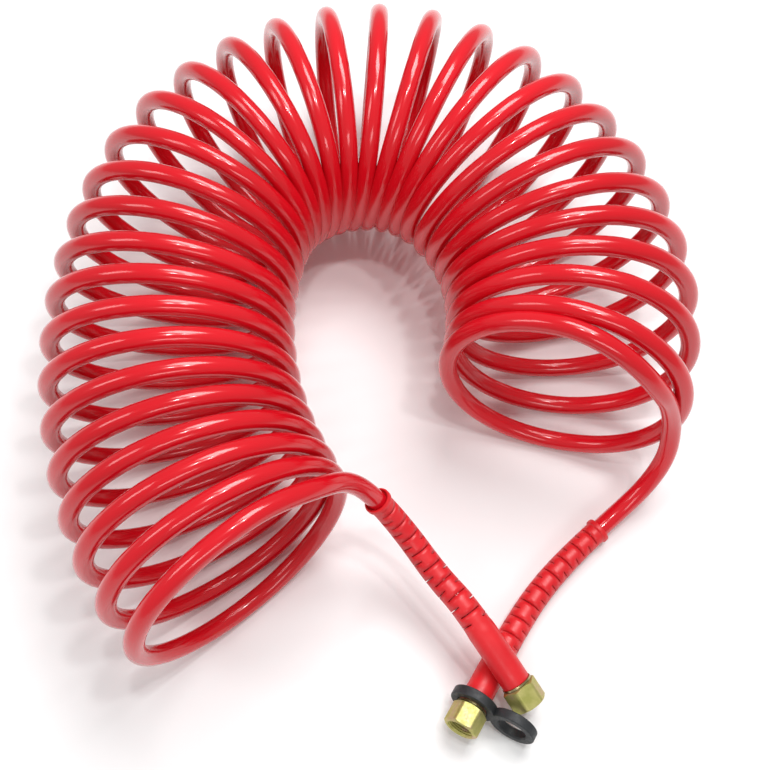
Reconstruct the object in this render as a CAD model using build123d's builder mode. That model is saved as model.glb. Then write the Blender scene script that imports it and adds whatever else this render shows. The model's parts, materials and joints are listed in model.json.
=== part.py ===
"""Coiled air hose with a swivelling union nut on each end and a rubber hanger tab.

The hose lies on its side on a flat surface and its coil curls round in a horseshoe.
Millimetres, +Z up.  The surface is z = 0 and the origin is under the middle of the whole hose.
"""
from build123d import *
from math import pi, radians, tan
import os

os.makedirs("parts", exist_ok=True)

# ---- hose -------------------------------------------------------------------------
TUBE_OD = 12.0
TUBE_ID = 9.0
COIL_OD = 158.0

# Axis of the coil: where it starts, its compass heading, then tangent arcs to the right,
# each (radius, degrees).
AXIS_START = (-69.5, -159)
AXIS_HEADING = 131.2
AXIS_ARCS = [(198, 13.4), (269, 45.1), (115, 117.5), (170, 48.4), (160, 17.3)]

# Uncoiled ends, from the coil to the seat of the fitting.  The last run is straight
# and sets the direction of the fitting.
ROUTES = {
    "left": [
        (-68.5, -153, 153),
        (-51, -139, 148),
        (-27, -124, 134),
        (-12, -111.5, 110),
        (2, -111, 81),
        (21, -125, 54.5),
        (41, -150, 42),
        (58.9, -170, 42.5),
        (83, -203.8, 27.9),
    ],
    "right": [
        (107, -33, 149.5),
        (127.5, -42, 150),
        (149.5, -53, 140.5),
        (167.5, -60.5, 119.5),
        (179.5, -59, 94),
        (187, -62, 67.5),
        (188, -72.5, 43.5),
        (178, -85, 22.5),
        (159.5, -100, 10.5),
        (134, -122, 9),
        (107.5, -149, 9),
        (86, -180.5, 7.5),
        (65.1, -216.1, 15.1),
    ],
}
BEND_SHARE = 0.45          # part of the shorter run that each bend takes up

# ---- kink sleeve: slotted spring part, start flange, plain cuff ----------------------
SLEEVE_LENGTH = 144.0
SLEEVE_OD = 14.6
FLANGE_OD = 17.0
FLANGE_LENGTH = 3.5
CUFF_OD = 18.0
CUFF_LENGTH = 40.0
SLOT_PITCH = 6.0
SLOT_WIDTH = 1.2
SLOT_ROWS = 16
RIB_WIDTH = 7.0            # each of the two ribs that a row of slots leaves
SLEEVE_POINTS = 5          # points of the route that the sleeve covers

# ---- fitting, measured along its axis from the end face of the cuff (t = 0) ------------
SEAT = 8.0                 # the hose stops this far inside the cuff
CRIMP_LENGTH = 22.0
CRIMP_OD = 14.8
SPIGOT_R = 4.5
BARB_DEPTH = 0.4
BARB_PITCH = 5.5
STEM_BORE_R = 3.0
NECK_R = 5.5
NECK_END = 6.6
HEAD_R = 6.5
HEAD_END = 8.8
NOSE_R = 4.9
NOSE_END = 10.8
NOSE_CHAMFER = 0.4
WASHER_OD = 19.0
WASHER_THICKNESS = 1.2
WIRE_RING_R = 5.6          # retaining wire, half in the stem and half in the nut
WIRE_R = 0.6
WIRE_T = 3.5
WIRE_PLAY = 0.1
THRUST_OD = 13.5
THRUST_THICKNESS = 0.8
O_RING_R = 5.0
O_RING_SECTION_R = 0.75
O_RING_T = 9.6

# ---- union nut, M16 x 1.5, 20 across flats -------------------------------------------
NUT_FLATS = 20.0
NUT_TURNED_OD = 22.2
NUT_CHAMFER = 0.7
NUT_BACK = 1.5
NUT_LENGTH = 14.5
NUT_WALL = 4.0
NUT_HOLE_R = 5.55
THREAD_BORE_R = 7.2
THREAD_START = 11.0        # the thread runs from here to the mouth, with a relief behind it
RELIEF_R = 7.7
MOUTH_CHAMFER = 0.8

# ---- hanger tab: a figure of eight, one eye round the right cuff ----------------------
TAB_THICKNESS = 6.0
TAB_LOBE_R = 14.6
TAB_EYE_R = 9.1
TAB_EYE_SPACING = 26.6
TAB_EYE_CHAMFER = 0.9
TAB_EDGE_FILLET = 0.8


def save(piece, name):
    """Label a finished piece and write its STEP file."""
    piece.part.label = name
    export_step(piece.part, f"parts/{name}.step")


def bend_radii(points):
    """One radius per inner point: as large as the two runs beside it allow."""
    radii = []
    for before, corner, after in zip(points, points[1:], points[2:]):
        run_in = corner - before
        run_out = after - corner
        reach = BEND_SHARE * min(run_in.length, run_out.length)
        radii.append(reach / tan(radians(run_in.get_angle(run_out)) / 2))
    return radii


def square_to(path, place):
    """Plane across a path at a place 0..1 along it, its x axis level."""
    along = path % place
    return Plane(origin=path @ place, x_dir=Vector(0, 0, 1).cross(along), z_dir=along)


def fitting_plane(points):
    """Plane on the cuff's end face, z out of the fitting, x level, y up."""
    along = (points[-1] - points[-2]).normalized()
    return Plane(origin=points[-1] + along * SEAT, x_dir=Vector(0, 0, 1).cross(along), z_dir=along)


def side_plane(face):
    """Plane through a fitting's axis for turned profiles: x is the radius, y is t."""
    return Plane(origin=face.origin, x_dir=face.x_dir, z_dir=-face.y_dir)


def fitting_axis(face):
    return Axis(face.origin, face.z_dir)


# ---- coil: one closed solid of the coil's outer shape ----------------------------------
with BuildPart() as hose_coil:
    with BuildLine() as coil_axis:
        here = Vector(*AXIS_START, COIL_OD / 2)
        heading = Vector(1, 0, 0).rotate(Axis.Z, AXIS_HEADING)
        for bend_radius, bend_angle in AXIS_ARCS:
            bend = JernArc(here, heading, bend_radius, -bend_angle)
            here = bend @ 1
            heading = bend % 1
    with BuildSketch(square_to(coil_axis.line, 0)):
        Circle(COIL_OD / 2)
    sweep()
save(hose_coil, "hose_coil")


def make_tail(side, points, radii):
    """The uncoiled end of the hose, a plain tube."""
    with BuildPart() as tail:
        with BuildLine():
            route = FilletPolyline(*points, radius=radii)
        with BuildSketch(square_to(route, 0)):
            Circle(TUBE_OD / 2)
            Circle(TUBE_ID / 2, mode=Mode.SUBTRACT)
        sweep()
    save(tail, f"hose_tail_{side}")
    length = route.length
    section = pi * (TUBE_OD**2 - TUBE_ID**2) / 4
    print(f"hose_tail_{side}: length {length:.1f}, bend radii {[round(r) for r in radii]},",
          f"volume over section x length {tail.part.volume / (section * length):.4f}")


def make_sleeve(side, points, radii, face):
    """Moulded kink sleeve: slotted over the bend, with a flange and a plain cuff."""
    # Its path starts half a run before the last SLEEVE_POINTS corners, in a straight stretch.
    first = (points[-SLEEVE_POINTS - 1] + points[-SLEEVE_POINTS]) / 2
    with BuildPart() as sleeve:
        with BuildLine(mode=Mode.PRIVATE):
            route = FilletPolyline(first, *points[-SLEEVE_POINTS:], radius=radii[1 - SLEEVE_POINTS:])
        length = route.length
        start = (length + SEAT - SLEEVE_LENGTH) / length
        start_plane = square_to(route, start)
        with BuildSketch(square_to(route, 0)):
            Circle(SLEEVE_OD / 2)
        sweep(path=route)
        split(bisect_by=start_plane, keep=Keep.TOP)
        with BuildSketch(start_plane):
            Circle(FLANGE_OD / 2)
        extrude(amount=FLANGE_LENGTH)
        for turned in (0, 90):
            rows = range(1 if turned else 0, SLOT_ROWS, 2)
            reaches = [FLANGE_LENGTH + SLOT_PITCH * (row + 1) for row in rows]
            planes = [square_to(route, start + reach / length) for reach in reaches]
            with BuildSketch(*planes):
                Circle(FLANGE_OD / 2)
                Rectangle(2 * FLANGE_OD, RIB_WIDTH, rotation=turned, mode=Mode.SUBTRACT)
            extrude(amount=SLOT_WIDTH / 2, both=True, mode=Mode.SUBTRACT)
        with BuildSketch(face.offset(-CUFF_LENGTH)):
            Circle(CUFF_OD / 2)
        extrude(amount=CUFF_LENGTH)
        with BuildSketch(square_to(route, 0)):
            Circle(TUBE_OD / 2)
        sweep(path=route, mode=Mode.SUBTRACT)
        with BuildSketch(face.offset(-SEAT - CRIMP_LENGTH)):
            Circle(CRIMP_OD / 2)
        extrude(amount=SEAT + CRIMP_LENGTH, mode=Mode.SUBTRACT)
    save(sleeve, f"kink_sleeve_{side}")


def make_ferrule(side, face):
    """Crimped ring that holds the hose on the barbed spigot, inside the cuff."""
    outer = CRIMP_OD / 2
    inner = TUBE_OD / 2
    back = -SEAT - CRIMP_LENGTH
    with BuildPart() as ferrule:
        with BuildSketch(side_plane(face)):
            with BuildLine():
                Polyline((inner, back), (outer, back), (outer, back + 6), (outer - 0.4, back + 7),
                         (outer - 0.4, back + 10), (outer, back + 11), (outer, -SEAT),
                         (inner, -SEAT), close=True)
            make_face()
        revolve(axis=fitting_axis(face))
    save(ferrule, f"crimp_ferrule_{side}")


def make_stem(side, face):
    """Turned stem: barbed spigot, collar, neck for the nut, head and nose."""
    profile = [(STEM_BORE_R, -SEAT - CRIMP_LENGTH)]
    for barb in range(4):
        foot = -SEAT - CRIMP_LENGTH + barb * BARB_PITCH
        profile.append((SPIGOT_R - BARB_DEPTH, foot))
        profile.append((SPIGOT_R, foot + BARB_PITCH - 1))
        profile.append((SPIGOT_R, foot + BARB_PITCH))
    profile += [
        (CRIMP_OD / 2, -SEAT), (CRIMP_OD / 2, 0), (NECK_R, 0), (NECK_R, NECK_END),
        (HEAD_R, NECK_END), (HEAD_R, HEAD_END), (NOSE_R, HEAD_END),
        (NOSE_R, NOSE_END - NOSE_CHAMFER), (NOSE_R - NOSE_CHAMFER, NOSE_END),
        (STEM_BORE_R, NOSE_END),
    ]
    with BuildPart() as stem:
        with BuildSketch(side_plane(face)):
            with BuildLine():
                Polyline(*profile, close=True)
            make_face()
            with Locations((WIRE_RING_R, WIRE_T)):
                Circle(WIRE_R, mode=Mode.SUBTRACT)
            with Locations((O_RING_R, O_RING_T)):
                Circle(O_RING_SECTION_R, mode=Mode.SUBTRACT)
        revolve(axis=fitting_axis(face))
    save(stem, f"fitting_stem_{side}")


def make_flat_ring(name, face, start, thickness, outer_r, inner_r):
    with BuildPart() as ring:
        with BuildSketch(face.offset(start)):
            Circle(outer_r)
            Circle(inner_r, mode=Mode.SUBTRACT)
        extrude(amount=thickness)
    save(ring, name)


def make_round_ring(name, face, t, ring_r, section_r):
    with BuildPart() as ring:
        with BuildSketch(side_plane(face)):
            with Locations((ring_r, t)):
                Circle(section_r)
        revolve(axis=fitting_axis(face))
    save(ring, name)


def make_nut(side, face):
    """Hexagon union nut that turns on the stem's neck."""
    mouth = NUT_BACK + NUT_LENGTH
    flat_r = NUT_FLATS / 2
    turned_r = NUT_TURNED_OD / 2
    with BuildPart() as nut:
        with BuildSketch(face.offset(NUT_BACK)):
            RegularPolygon(flat_r, 6, major_radius=False)
        extrude(amount=NUT_LENGTH)
        with BuildSketch(side_plane(face)):
            with BuildLine():
                Polyline((0, NUT_BACK), (flat_r, NUT_BACK), (turned_r, NUT_BACK + NUT_CHAMFER),
                         (turned_r, mouth - NUT_CHAMFER), (flat_r, mouth), (0, mouth), close=True)
            make_face()
        revolve(axis=fitting_axis(face), mode=Mode.INTERSECT)
        with BuildSketch(side_plane(face)):
            with BuildLine():
                Polyline((0, NUT_BACK), (NUT_HOLE_R, NUT_BACK), (NUT_HOLE_R, NUT_BACK + NUT_WALL),
                         (RELIEF_R, NUT_BACK + NUT_WALL), (RELIEF_R, THREAD_START),
                         (THREAD_BORE_R, THREAD_START), (THREAD_BORE_R, mouth - MOUTH_CHAMFER),
                         (THREAD_BORE_R + MOUTH_CHAMFER, mouth), (0, mouth), close=True)
            make_face()
            with Locations((WIRE_RING_R, WIRE_T)):
                Circle(WIRE_R + WIRE_PLAY)
        revolve(axis=fitting_axis(face), mode=Mode.SUBTRACT)
    save(nut, f"union_nut_{side}")


def make_tab(face):
    """Rubber hanger tab; its free eye lies to the right of the cuff."""
    with BuildPart() as tab:
        with BuildSketch(face.offset(-TAB_THICKNESS)):
            with Locations((0, 0), (TAB_EYE_SPACING, 0)):
                Circle(TAB_LOBE_R)
        extrude(amount=TAB_THICKNESS)
        fillet(tab.edges().filter_by(GeomType.CIRCLE), radius=TAB_EDGE_FILLET)
        with BuildSketch(face.offset(-TAB_THICKNESS)):
            with Locations((0, 0), (TAB_EYE_SPACING, 0)):
                Circle(TAB_EYE_R)
        extrude(amount=TAB_THICKNESS, mode=Mode.SUBTRACT)
        eyes = tab.edges().filter_by(lambda e: e.geom_type == GeomType.CIRCLE and e.is_closed)
        chamfer(eyes, length=TAB_EYE_CHAMFER)
    save(tab, "hanger_tab")


for side, route_points in ROUTES.items():
    points = [Vector(*point) for point in route_points]
    radii = bend_radii(points)
    face = fitting_plane(points)
    make_tail(side, points, radii)
    make_sleeve(side, points, radii, face)
    make_ferrule(side, face)
    make_stem(side, face)
    make_flat_ring(f"end_washer_{side}", face, 0, WASHER_THICKNESS, WASHER_OD / 2, NECK_R)
    make_round_ring(f"nut_wire_{side}", face, WIRE_T, WIRE_RING_R, WIRE_R)
    make_flat_ring(f"thrust_washer_{side}", face, NECK_END - THRUST_THICKNESS, THRUST_THICKNESS,
                   THRUST_OD / 2, NECK_R)
    make_round_ring(f"o_ring_{side}", face, O_RING_T, O_RING_R, O_RING_SECTION_R)
    make_nut(side, face)
    if side == "right":
        make_tab(face)
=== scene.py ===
"""Visual model of the coiled air hose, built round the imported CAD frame.

Metres, +Z up, the surface that the hose lies on at z = 0.
"""
import bmesh
import bpy
import json
from math import cos, pi, radians, sin
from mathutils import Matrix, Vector


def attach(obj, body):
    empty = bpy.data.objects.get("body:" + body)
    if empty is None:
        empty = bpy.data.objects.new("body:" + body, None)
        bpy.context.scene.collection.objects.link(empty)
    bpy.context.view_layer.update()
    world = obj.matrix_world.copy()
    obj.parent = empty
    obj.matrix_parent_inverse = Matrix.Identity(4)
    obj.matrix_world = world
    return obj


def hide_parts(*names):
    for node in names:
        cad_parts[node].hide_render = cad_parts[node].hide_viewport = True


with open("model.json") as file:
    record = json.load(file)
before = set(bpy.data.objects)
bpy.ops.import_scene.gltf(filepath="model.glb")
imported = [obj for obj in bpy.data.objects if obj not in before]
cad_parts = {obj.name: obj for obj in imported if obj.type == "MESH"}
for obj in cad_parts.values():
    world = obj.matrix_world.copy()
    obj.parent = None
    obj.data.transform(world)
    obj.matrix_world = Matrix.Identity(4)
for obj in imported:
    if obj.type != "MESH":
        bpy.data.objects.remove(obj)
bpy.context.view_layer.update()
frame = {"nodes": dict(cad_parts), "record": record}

# ---- hose ----------------------------------------------------------------------------------
# The coil's axis is that of the CAD source: (radius, degrees) of each arc.  The ends have the
# same points, some of them moved by 1.5 mm or less where they meet the turns.
TUBE_R = 0.006
COIL_AXIS_START = (-0.0695, -0.1590)
COIL_HEADING = 131.2
COIL_ARCS = ((0.198, 13.4), (0.269, 45.1), (0.115, 117.5), (0.170, 48.4), (0.160, 17.3))

LEFT_END = [
    (-0.0685, -0.1530, 0.1545),
    (-0.0510, -0.1390, 0.1490),
    (-0.0270, -0.1240, 0.1340),
    (-0.0120, -0.1115, 0.1100),
    (0.0020, -0.1110, 0.0810),
    (0.0210, -0.1250, 0.0545),
    (0.0410, -0.1500, 0.0420),
    (0.0589, -0.1700, 0.0425),
    (0.0830, -0.2038, 0.0279),
]
RIGHT_END = [
    (0.1070, -0.0330, 0.1500),
    (0.1275, -0.0420, 0.1505),
    (0.1495, -0.0530, 0.1405),
    (0.1675, -0.0605, 0.1195),
    (0.1795, -0.0590, 0.0940),
    (0.1870, -0.0620, 0.0675),
    (0.1880, -0.0725, 0.0435),
    (0.1780, -0.0850, 0.0225),
    (0.1595, -0.1000, 0.0105),
    (0.1340, -0.1220, 0.0090),
    (0.1075, -0.1490, 0.0090),
    (0.0860, -0.1805, 0.0075),
    (0.0651, -0.2161, 0.0151),
]

# The turns between the two ends: how many, where round a turn they start, and how their
# spacing, tilt and radius change along the coil, each as (turn, value) pairs.
TURNS = 29.98
FIRST_PHASE = 0.74
POINTS_PER_TURN = 16
SPACING = ((0, 0.0191), (2.3, 0.0213), (5.3, 0.0237), (10.3, 0.0223), (14.3, 0.0219),
           (18.3, 0.0241), (22.3, 0.0244), (26.3, 0.0240), (28.3, 0.0244), (30.1, 0.0261))
TILT = ((0, 0.055), (2.3, 0.061), (9.3, -0.114), (19.3, 0.189), (25.3, 0.136),
        (28.3, -0.038), (29.5, -0.044), (30.1, -0.253))
TURN_RADIUS = ((0, 0.0733), (1.8, 0.0753), (14.3, 0.0696), (27.3, 0.0738), (30.1, 0.0721))

# ---- sleeves, along the hose from the cuff's end face --------------------------------------
SLEEVE_LENGTH = 0.144
CUFF_LENGTH = 0.040
CUFF_R = 0.009
SLEEVE_R = 0.0073
FLANGE_R = 0.0085
FLANGE_LENGTH = 0.0035
SLOT_ROWS = 16
SLOT_PITCH = 0.006
SLOT_HALF = 0.00035
SLEEVE_SEGMENTS = 48
CUFF_WALL = 0.0012
SLEEVE_BORE_R = 0.0061

# ---- union nut, along its axis from the cuff's end face ------------------------------------
MOUNT_T = 0.0131          # where the record's mounts are
NUT_BACK = 0.0015
NUT_MOUTH = 0.0160
NUT_FLAT_R = 0.010
NUT_TURNED_R = 0.0111
NUT_HOLE_R = 0.00555
NUT_WALL_T = 0.0055
THREAD_START = 0.011
THREAD_MINOR_R = 0.0072
THREAD_MAJOR_R = 0.0080
THREAD_PITCH = 0.0015
THREAD_STEEPNESS = 2.6    # of the flanks; the rest of the pitch is crest
THREAD_STEPS_PER_PITCH = 10
RELIEF_R = 0.0077
MOUTH_CHAMFER = 0.0008
NUT_SEGMENTS = 144


def make_camera():
    """Camera in front of the hose, looking down on it."""
    camera = bpy.data.objects.new("camera", bpy.data.cameras.new("camera"))
    camera.location = (0.0088, -0.3186, 0.6977)
    camera.rotation_euler = (radians(24.35), 0, 0)
    camera.data.lens = 51.3
    camera.data.clip_start = 0.01
    bpy.context.scene.collection.objects.link(camera)
    bpy.context.scene.camera = camera


def between(pairs, at):
    """Value at a place, straight between the pairs on each side of it."""
    for (low, low_value), (high, high_value) in zip(pairs, pairs[1:]):
        if at <= high:
            break
    return low_value + (high_value - low_value) * (at - low) / (high - low)


def coil_axis(distance):
    """Point on the coil's axis and its heading; the last arc runs on past its end."""
    x, y = COIL_AXIS_START
    heading = radians(COIL_HEADING)
    for radius, turn in COIL_ARCS:
        angle = radians(turn)
        if distance < radius * angle or turn == COIL_ARCS[-1][1]:
            angle = distance / radius
        end = heading - angle
        x += radius * (sin(heading) - sin(end))
        y -= radius * (cos(heading) - cos(end))
        heading = end
        distance -= radius * angle
        if distance <= 0:
            break
    return Vector((x, y, 0)), heading


def coil_points():
    """Control points of the turns, set out a little so that the curve has their radius."""
    count = round(TURNS * POINTS_PER_TURN)
    step = TURNS / count
    set_out = 1 / cos(pi / POINTS_PER_TURN)
    distance = 0
    points = []
    for index in range(1, count):
        turn = index * step
        distance += between(SPACING, turn - step / 2) * step
        centre, heading = coil_axis(distance)
        angle = -2 * pi * (FIRST_PHASE + turn)
        radius = between(TURN_RADIUS, turn)
        outward = Vector((-sin(heading), cos(heading), 0)) * radius * set_out * cos(angle)
        leaning = Vector((cos(heading), sin(heading), 0)) * between(TILT, turn) * radius * sin(angle)
        height = TUBE_R + radius + radius * set_out * sin(angle)
        points.append(centre + outward + leaning + Vector((0, 0, height)))
    return points


def make_route():
    """The hose's one smooth line, as a curve outside the scene."""
    route = [Vector(point) for point in reversed(LEFT_END)]
    route += coil_points()
    route += [Vector(point) for point in RIGHT_END]
    curve = bpy.data.curves.new("route", "CURVE")
    curve.dimensions = "3D"
    spline = curve.splines.new("NURBS")
    spline.points.add(len(route) - 1)
    for point, place in zip(spline.points, route):
        point.co = (*place, 1)
    spline.use_endpoint_u = True
    spline.order_u = 3
    spline.resolution_u = 6
    curve.bevel_resolution = 8
    curve.use_fill_caps = True
    return bpy.data.objects.new("route", curve)


def make_hose(route):
    """The tube round the route, and the points along its centre from left to right."""
    line = bpy.data.meshes.new_from_object(route)
    points = [vertex.co.copy() for vertex in line.vertices]
    route.data.bevel_depth = TUBE_R
    tube = bpy.data.meshes.new_from_object(route)
    tube.name = "hose"
    hose = bpy.data.objects.new("hose", tube)
    for polygon in tube.polygons:
        polygon.use_smooth = True
    bpy.context.scene.collection.objects.link(hose)
    return hose, points


class Rail:
    """A line of points with a level-sided frame at any distance along it."""

    def __init__(self, points):
        self.points = points
        self.marks = [0]
        for start, end in zip(points, points[1:]):
            self.marks.append(self.marks[-1] + (end - start).length)

    def point(self, distance):
        index = 1
        while index < len(self.marks) - 1 and self.marks[index] < distance:
            index += 1
        low, high = self.marks[index - 1], self.marks[index]
        return self.points[index - 1].lerp(self.points[index], (distance - low) / (high - low))

    def frame(self, distance):
        """Place, level side and upper side; the rail's direction is from the hose outwards."""
        reach = 0.002
        along = (self.point(distance - reach) - self.point(distance + reach)).normalized()
        side = Vector((0, 0, 1)).cross(along).normalized()
        return self.point(distance), side, along.cross(side)


def finish_mesh(bm, name, body, sharp=35):
    """Turn a bmesh into an object with smooth faces and creases at its sharp edges."""
    bmesh.ops.recalc_face_normals(bm, faces=bm.faces)
    for face in bm.faces:
        face.smooth = True
    for edge in bm.edges:
        if edge.is_manifold and edge.calc_face_angle() > radians(sharp):
            edge.smooth = False
    mesh = bpy.data.meshes.new(name)
    bm.to_mesh(mesh)
    bm.free()
    piece = bpy.data.objects.new(name, mesh)
    bpy.context.scene.collection.objects.link(piece)
    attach(piece, body)
    return piece


def slotted_radius(distance):
    """The slotted part grows from the flange to the cuff, and ends a step below it."""
    step = 0.0004
    share = (SLEEVE_LENGTH - distance) / (SLEEVE_LENGTH - CUFF_LENGTH)
    return SLEEVE_R + (CUFF_R - step - SLEEVE_R) * share


def sleeve_profile():
    """(distance, radius) from the cuff's end face to the flange, without the slots."""
    blend = 0.001
    slotted = CUFF_LENGTH + blend
    shoulder = SLEEVE_LENGTH - FLANGE_LENGTH
    cuff_end = [(0.0, 0.0076), (0.0, 0.0086), (0.0002, 0.00888), (0.0005, CUFF_R)]
    cuff = [(distance, CUFF_R) for distance in (0.010, 0.020, 0.030, CUFF_LENGTH - 4 * blend)]
    cuff_step = [(CUFF_LENGTH - 2.5 * blend, CUFF_R - 0.00005), (CUFF_LENGTH - blend, CUFF_R - 0.00015),
                 (slotted, slotted_radius(CUFF_LENGTH))]
    flange_foot = [(shoulder - 0.0008, slotted_radius(shoulder)), (shoulder - 0.0003, 0.0075),
                   (shoulder, 0.0080), (shoulder + 0.0004, 0.0084), (shoulder + 0.0009, FLANGE_R)]
    flange_end = [(SLEEVE_LENGTH - 0.0008, FLANGE_R), (SLEEVE_LENGTH - 0.0002, 0.0083),
                  (SLEEVE_LENGTH, 0.0078), (SLEEVE_LENGTH, 0.0072)]
    return cuff_end + cuff + cuff_step + flange_foot + flange_end


def sleeve_stations():
    """(distance, radius, row): the profile with the slots' edges; row is that of a slot's start."""
    stations = [(distance, radius, None) for distance, radius in sleeve_profile()]
    for row in range(SLOT_ROWS):
        middle = SLEEVE_LENGTH - FLANGE_LENGTH - SLOT_PITCH * (row + 1)
        between_rows = middle + SLOT_PITCH / 2
        stations.append((middle - SLOT_HALF, slotted_radius(middle), row))
        stations.append((middle + SLOT_HALF, slotted_radius(middle), None))
        stations.append((between_rows, slotted_radius(between_rows), None))
    stations.sort(key=lambda station: station[0])
    return stations


def is_slot(row, index):
    """Whether a face of a row is open: two slots a row, turned by a quarter in every other row."""
    if row is None:
        return False
    quarter = SLEEVE_SEGMENTS // 4
    rib = SLEEVE_SEGMENTS // 6
    turned = (index + quarter * (row % 2) + rib // 2) % (2 * quarter)
    return turned >= rib


def thicken(sleeve, stations):
    """Give the sleeve's skin its wall: thin round the ferrule, down to the hose elsewhere."""
    wall = sleeve.modifiers.new("wall", "SOLIDIFY")
    wall.thickness = CUFF_R - SLEEVE_BORE_R
    wall.offset = -1
    group = sleeve.vertex_groups.new(name="share of the wall")
    wall.vertex_group = group.name
    for ring, (distance, radius, _) in enumerate(stations):
        thickness = CUFF_WALL if distance < CUFF_LENGTH else radius - SLEEVE_BORE_R
        vertices = range(ring * SLEEVE_SEGMENTS, (ring + 1) * SLEEVE_SEGMENTS)
        group.add(vertices, thickness / wall.thickness, "REPLACE")


def make_sleeve(name, rail):
    """Slotted kink sleeve and cuff that follow the hose."""
    stations = sleeve_stations()
    bm = bmesh.new()
    rings = []
    for distance, radius, _ in stations:
        place, side, upper = rail.frame(distance)
        angles = [2 * pi * index / SLEEVE_SEGMENTS for index in range(SLEEVE_SEGMENTS)]
        rings.append([bm.verts.new(place + side * radius * cos(angle) + upper * radius * sin(angle))
                      for angle in angles])
    for (_, _, row), ring, following in zip(stations, rings, rings[1:]):
        for index in range(SLEEVE_SEGMENTS):
            if not is_slot(row, index):
                after = (index + 1) % SLEEVE_SEGMENTS
                bm.faces.new((ring[index], ring[after], following[after], following[index]))
    sleeve = finish_mesh(bm, name, "hose")
    thicken(sleeve, stations)
    return sleeve


def fitting_frame(side):
    """Cuff's end face of one fitting: centre, direction out of it, level side, upper side."""
    mount = next(m for m in frame["record"]["mounts"] if m["name"] == f"nut_mouth_{side}")
    along = Vector(mount["axis"]).normalized()
    level = Vector((0, 0, 1)).cross(along).normalized()
    return Vector(mount["pos_m"]) - along * MOUNT_T, along, level, along.cross(level)


def hexagon_radius(angle):
    """Radius of a hexagon with a flat facing up, at an angle from its level side."""
    corner = pi / 3
    return NUT_FLAT_R / cos(angle % corner - corner / 2)


def nut_stations():
    """Closed section of the nut: (t, radius, kind), kind saying what shapes the radius."""
    edge, edge_rise = 0.00015, 0.0002
    cone, cone_rise = 0.0011, 0.0020
    cone_steps, side_steps = 6, 8
    hole_chamfer = 0.0004
    face_r = NUT_FLAT_R - 0.0007
    low = NUT_BACK + edge + cone
    high = NUT_MOUTH - edge - cone
    thread_top = NUT_MOUTH - MOUTH_CHAMFER
    thread_length = thread_top - THREAD_START
    stations = [(NUT_BACK + hole_chamfer, NUT_HOLE_R, "round"),
                (NUT_BACK, NUT_HOLE_R + hole_chamfer, "round"),
                (NUT_BACK, 0.0078, "round"), (NUT_BACK, face_r, "round")]
    for step in range(cone_steps + 1):
        rise = step / cone_steps
        stations.append((NUT_BACK + edge + cone * rise, face_r + edge_rise + cone_rise * rise, "hexagon"))
    for step in range(1, side_steps):
        stations.append((low + (high - low) * step / side_steps, NUT_TURNED_R, "hexagon"))
    for step in range(cone_steps + 1):
        fall = step / cone_steps
        stations.append((high + cone * fall, face_r + edge_rise + cone_rise * (1 - fall), "hexagon"))
    stations += [(NUT_MOUTH, face_r, "round"), (NUT_MOUTH, 0.0088, "round"),
                 (NUT_MOUTH - 0.0002, 0.0084, "round"), (thread_top, THREAD_MAJOR_R, "round")]
    count = round(thread_length / THREAD_PITCH * THREAD_STEPS_PER_PITCH)
    for index in range(1, count):
        stations.append((thread_top - thread_length * index / count, 0, "thread"))
    stations += [(THREAD_START, RELIEF_R, "round"), (NUT_WALL_T, RELIEF_R, "round"),
                 (NUT_WALL_T, NUT_HOLE_R, "round")]
    return stations


def nut_radius(t, radius, kind, angle):
    """Radius of the nut's section at an angle; the thread winds and fades at both its ends."""
    if kind == "round":
        return radius
    if kind == "hexagon":
        return min(hexagon_radius(angle), NUT_TURNED_R, radius)
    phase = (t / THREAD_PITCH - angle / (2 * pi)) % 1
    crest = min(1, THREAD_STEEPNESS * abs(phase - 0.5))
    from_ends = min(NUT_MOUTH - MOUTH_CHAMFER - t, t - THREAD_START)
    run_out = min(1, from_ends / THREAD_PITCH)
    return THREAD_MAJOR_R - (THREAD_MAJOR_R - THREAD_MINOR_R) * crest * max(0, run_out)


def make_nut(side):
    """Hexagon union nut with turned corners, chamfers and a cut thread."""
    centre, along, level, upper = fitting_frame(side)
    stations = nut_stations()
    bm = bmesh.new()
    rings = []
    for t, radius, kind in stations:
        ring = []
        for index in range(NUT_SEGMENTS):
            angle = 2 * pi * index / NUT_SEGMENTS
            outward = level * cos(angle) + upper * sin(angle)
            reach = nut_radius(t, radius, kind, angle)
            ring.append(bm.verts.new(centre + along * t + outward * reach))
        rings.append(ring)
    for (_, _, kind), ring, following in zip(stations, rings, rings[1:] + rings[:1]):
        for index in range(NUT_SEGMENTS):
            after = (index + 1) % NUT_SEGMENTS
            face = bm.faces.new((ring[index], ring[after], following[after], following[index]))
            # Material 1 is the thread's darker zinc, which carries painted shade in the bore.
            face.material_index = 1 if kind == "thread" else 0
    nut = finish_mesh(bm, f"nut_{side}", f"{side}_nut", sharp=28)
    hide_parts(f"union_nut_{side}")
    return nut


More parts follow.
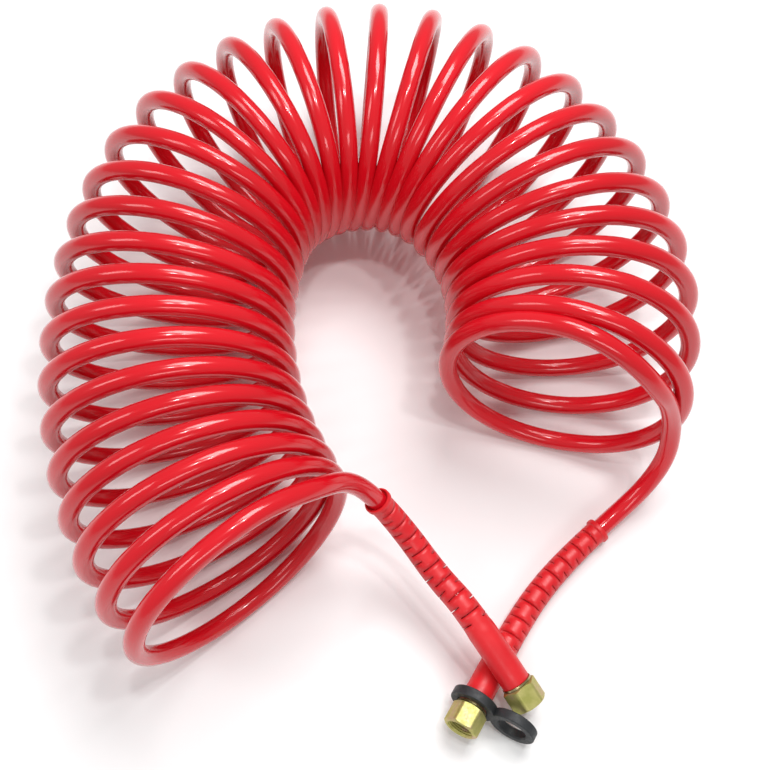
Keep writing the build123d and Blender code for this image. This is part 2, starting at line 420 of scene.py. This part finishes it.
# ---- materials --------------------------------------------------------------------------------
class Recipe:
    """A node material: a principled shader and short helpers for what feeds it."""

    def __init__(self, name, color, roughness, metallic=0.0, **sockets):
        self.material = bpy.data.materials.new(name)
        self.material.use_nodes = True
        self.nodes = self.material.node_tree.nodes
        self.links = self.material.node_tree.links
        self.shader = self.nodes["Principled BSDF"]
        self.shader.inputs["Base Color"].default_value = (*color, 1)
        self.shader.inputs["Roughness"].default_value = roughness
        self.shader.inputs["Metallic"].default_value = metallic
        for socket, value in sockets.items():
            self.shader.inputs[socket.replace("_", " ")].default_value = value
        self.place = self.nodes.new("ShaderNodeTexCoord").outputs["Object"]

    def noise(self, scale, detail=3.0):
        node = self.nodes.new("ShaderNodeTexNoise")
        node.inputs["Scale"].default_value = scale
        node.inputs["Detail"].default_value = detail
        self.links.new(self.place, node.inputs["Vector"])
        return node.outputs["Fac"]

    def remap(self, value, low, high, to_low, to_high):
        node = self.nodes.new("ShaderNodeMapRange")
        for socket, number in zip(("From Min", "From Max", "To Min", "To Max"),
                                  (low, high, to_low, to_high)):
            node.inputs[socket].default_value = number
        self.links.new(value, node.inputs["Value"])
        return node.outputs["Result"]

    def ramp(self, value, *stops):
        node = self.nodes.new("ShaderNodeValToRGB")
        elements = node.color_ramp.elements
        while len(elements) < len(stops):
            elements.new(0.5)
        for element, (position, color) in zip(elements, stops):
            element.position = position
            element.color = (*color, 1)
        self.links.new(value, node.inputs["Fac"])
        return node.outputs["Color"]

    def feed(self, value, socket):
        self.links.new(value, self.shader.inputs[socket])

    def bump(self, height, depth, strength=0.5):
        node = self.nodes.new("ShaderNodeBump")
        node.inputs["Distance"].default_value = depth
        node.inputs["Strength"].default_value = strength
        self.links.new(height, node.inputs["Height"])
        self.links.new(node.outputs["Normal"], self.shader.inputs["Normal"])


def hose_material():
    """Glossy red polyamide: an even colour, faint flow marks and a slight bloom."""
    m = Recipe("hose_red", (0.62, 0.004, 0.012), 0.16, Specular_IOR_Level=0.5,
               Coat_Weight=0.25, Coat_Roughness=0.05)
    m.feed(m.ramp(m.noise(9, 2), (0.35, (0.58, 0.003, 0.010)), (0.65, (0.68, 0.006, 0.015))),
           "Base Color")
    m.feed(m.remap(m.noise(60), 0.3, 0.7, 0.13, 0.21), "Roughness")
    m.bump(m.noise(240, 2), 0.00004, 0.25)
    return m.material


def sleeve_material():
    """Semi-gloss moulded elastomer, a little lighter than the hose."""
    m = Recipe("sleeve_red", (0.68, 0.012, 0.018), 0.38)
    m.feed(m.ramp(m.noise(30, 2), (0.35, (0.64, 0.010, 0.016)), (0.65, (0.74, 0.018, 0.024))),
           "Base Color")
    m.feed(m.remap(m.noise(300), 0.3, 0.7, 0.32, 0.46), "Roughness")
    m.bump(m.noise(900, 2), 0.00003, 0.35)
    return m.material


def zinc_material(name, low, middle, high, roughness):
    """Chromated zinc: its colour drifts between three tints, with fine turning marks."""
    m = Recipe(name, middle, roughness, 1.0)
    m.feed(m.ramp(m.noise(110, 3), (0.30, low), (0.50, middle), (0.70, high)), "Base Color")
    m.feed(m.remap(m.noise(700, 4), 0.3, 0.7, roughness - 0.06, roughness + 0.10), "Roughness")
    m.bump(m.noise(1500, 3), 0.00002, 0.30)
    return m.material


def metal_material(name, color, roughness):
    """Turned or drawn bare metal: slightly darker patches and fine marks."""
    m = Recipe(name, color, roughness, 1.0)
    dark = [channel * 0.86 for channel in color]
    m.feed(m.ramp(m.noise(160, 3), (0.35, dark), (0.65, color)), "Base Color")
    m.feed(m.remap(m.noise(800, 3), 0.3, 0.7, roughness - 0.05, roughness + 0.08), "Roughness")
    m.bump(m.noise(1400, 2), 0.00002, 0.25)
    return m.material


def rubber_material(name, color, grain):
    """Moulded black rubber: matt, with a fine grain and paler scuffs."""
    m = Recipe(name, color, 0.55)
    pale = [channel * 1.7 + 0.006 for channel in color]
    m.feed(m.ramp(m.noise(120, 4), (0.45, color), (0.78, pale)), "Base Color")
    m.feed(m.remap(m.noise(500, 3), 0.3, 0.7, 0.46, 0.66), "Roughness")
    m.bump(m.noise(grain, 3), 0.00004, 0.4)
    return m.material


def plastic_material(name, color):
    """Moulded plastic with an uneven sheen."""
    m = Recipe(name, color, 0.4)
    m.feed(m.remap(m.noise(400), 0.3, 0.7, 0.34, 0.48), "Roughness")
    return m.material


def floor_material():
    """Plain matt white studio floor."""
    m = Recipe("floor_white", (0.92, 0.92, 0.92), 0.7)
    m.feed(m.remap(m.noise(40), 0.3, 0.7, 0.65, 0.75), "Roughness")
    return m.material


def dress(piece, *materials):
    """Give a piece these materials, in the order of its faces' material indices."""
    piece.data.materials.clear()
    for material in materials:
        piece.data.materials.append(material)


# ---- surroundings --------------------------------------------------------------------------
def make_floor():
    """Wide plane a hair below the hose, so that the two don't share a surface."""
    bpy.ops.mesh.primitive_plane_add(size=12, location=(0, 0, -0.0002))
    floor = bpy.context.object
    floor.name = "floor"
    dress(floor, floor_material())


def make_light(name, place, size, power):
    """Soft rectangular light that points at the origin."""
    lamp = bpy.data.lights.new(name, "AREA")
    lamp.shape = "RECTANGLE"
    lamp.size, lamp.size_y = size
    lamp.energy = power
    light = bpy.data.objects.new(name, lamp)
    light.location = place
    light.rotation_euler = (-Vector(place)).to_track_quat("-Z", "Y").to_euler()
    bpy.context.scene.collection.objects.link(light)


def make_world():
    """Even white light from all round."""
    world = bpy.data.worlds.new("studio")
    world.use_nodes = True
    world.node_tree.nodes["Background"].inputs["Color"].default_value = (1, 1, 1, 1)
    world.node_tree.nodes["Background"].inputs["Strength"].default_value = 0.36
    bpy.context.scene.world = world


make_camera()
hose, line = make_hose(make_route())
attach(hose, "hose")
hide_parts("hose_coil", "hose_tail_left", "hose_tail_right")
dress(hose, hose_material())

sleeve_look = sleeve_material()
nut_look = zinc_material("nut_zinc", (0.44, 0.43, 0.13), (0.56, 0.52, 0.20), (0.58, 0.42, 0.30),
                         roughness=0.54)
# The thread's zinc is painted less than half as bright as the nut's: painted shade in the nut's bore.
thread_shade_look = zinc_material("nut_thread_painted_shade", (0.16, 0.15, 0.05), (0.24, 0.21, 0.09), (0.22, 0.15, 0.10),
                            roughness=0.42)
for side, points in (("left", line), ("right", line[::-1])):
    face_centre = fitting_frame(side)[0]
    sleeve = make_sleeve(f"sleeve_{side}", Rail([face_centre] + points))
    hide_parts(f"kink_sleeve_{side}")
    dress(sleeve, sleeve_look)
    nut = make_nut(side)
    dress(nut, nut_look, thread_shade_look)

washer_look = zinc_material("washer_zinc", (0.40, 0.33, 0.16), (0.50, 0.41, 0.20), (0.55, 0.38, 0.30),
                            roughness=0.30)
steel_look = metal_material("wire_steel", (0.58, 0.58, 0.58), 0.30)
looks = {
    "end_washer": washer_look,
    "fitting_stem": metal_material("stem_brass", (0.78, 0.62, 0.30), 0.26),
    "crimp_ferrule": steel_look,
    "nut_wire": steel_look,
    "thrust_washer": plastic_material("thrust_plastic", (0.82, 0.82, 0.78)),
    "o_ring": rubber_material("o_ring_rubber", (0.012, 0.012, 0.012), 900),
}
for node, look in looks.items():
    for side in ("left", "right"):
        dress(frame["nodes"][f"{node}_{side}"], look)
dress(frame["nodes"]["hanger_tab"], rubber_material("tab_rubber", (0.016, 0.018, 0.020), 700))

make_floor()
make_world()
make_light("key", (0.35, 0.55, 1.5), (0.9, 0.6), 17)
make_light("left", (-1.2, -0.3, 1.3), (0.4, 0.8), 5)
make_light("front", (0.3, -1.4, 1.2), (0.8, 0.3), 4)
make_light("sparkle_near", (0.10, -0.10, 1.5), (0.09, 0.09), 3)
make_light("sparkle_far", (0.42, -0.05, 1.5), (0.09, 0.09), 3)
bpy.context.scene.view_settings.view_transform = "Standard"
